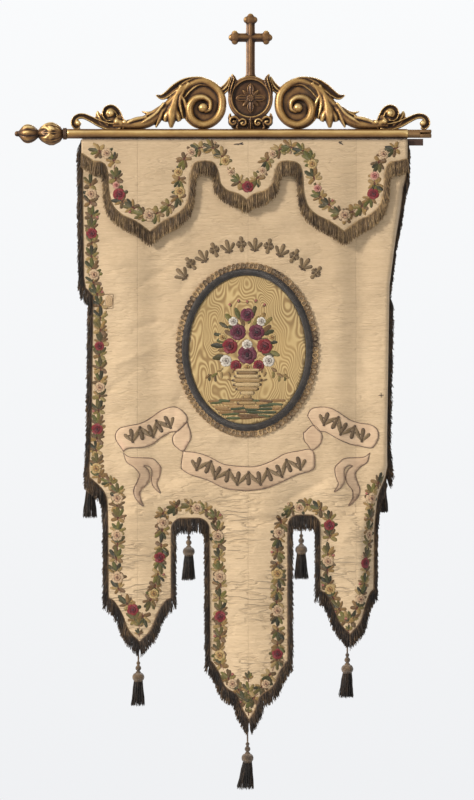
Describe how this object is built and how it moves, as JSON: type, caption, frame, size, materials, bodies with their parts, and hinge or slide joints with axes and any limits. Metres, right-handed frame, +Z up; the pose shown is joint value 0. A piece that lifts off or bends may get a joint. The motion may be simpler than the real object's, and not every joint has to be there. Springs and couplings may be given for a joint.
{
  "type": "church banner hung from a gilt rod with a carved crest",
  "caption": "Tall embroidered silk banner with pointed pendants, scalloped valance, fringe, tassels and an oval panel, hung from a gilt rod with a carved scroll crest and cross.",
  "frame": {"origin": "centre of the flat back of the crest's medallion", "axes": "+Z up, +Y out of the back, the embroidered front faces -Y"},
  "size_m": [1.247, 0.1197, 2.325],
  "materials": {
    "gilt_wood": "worn gilding over carved wood",
    "dark_wood": "stained, matt",
    "silk": "ribbed ivory silk, aged",
    "moire_silk": "watered gold silk",
    "dark_cord": "wrapped tarnished thread",
    "looped_braid": "looped gilt braid, tarnished",
    "pale_fringe": "faded thread fringe",
    "dark_fringe": "dark thread fringe",
    "tassel_thread": "dark thread with gilt netting"
  },
  "bodies": {
    "root": {"rod": "gilt_wood", "finial_collar": "gilt_wood", "finial_bulb": "gilt_wood", "finial_bud": "gilt_wood", "batten": "dark_wood", "crest_wing_left": "gilt_wood", "crest_wing_right": "gilt_wood", "crest_medallion": "gilt_wood", "crest_rosette": "gilt_wood", "crest_cross": "gilt_wood", "banner_cloth": "silk", "valance": "silk", "oval_panel": "moire_silk", "oval_cord_ring": "dark_cord", "oval_looped_braid": "looped_braid", "fringe_valance": "pale_fringe", "fringe_side_left": "dark_fringe", "fringe_side_right": "dark_fringe", "fringe_pendant_left": "dark_fringe", "fringe_pendant_centre": "dark_fringe", "fringe_pendant_right": "dark_fringe", "tassel_left_tip": "tassel_thread", "tassel_left_notch": "tassel_thread", "tassel_centre_tip": "tassel_thread", "tassel_right_notch": "tassel_thread", "tassel_right_tip": "tassel_thread", "tassel_left_shoulder": "tassel_thread", "tassel_right_shoulder": "tassel_thread"}
  },
  "joints": []
}
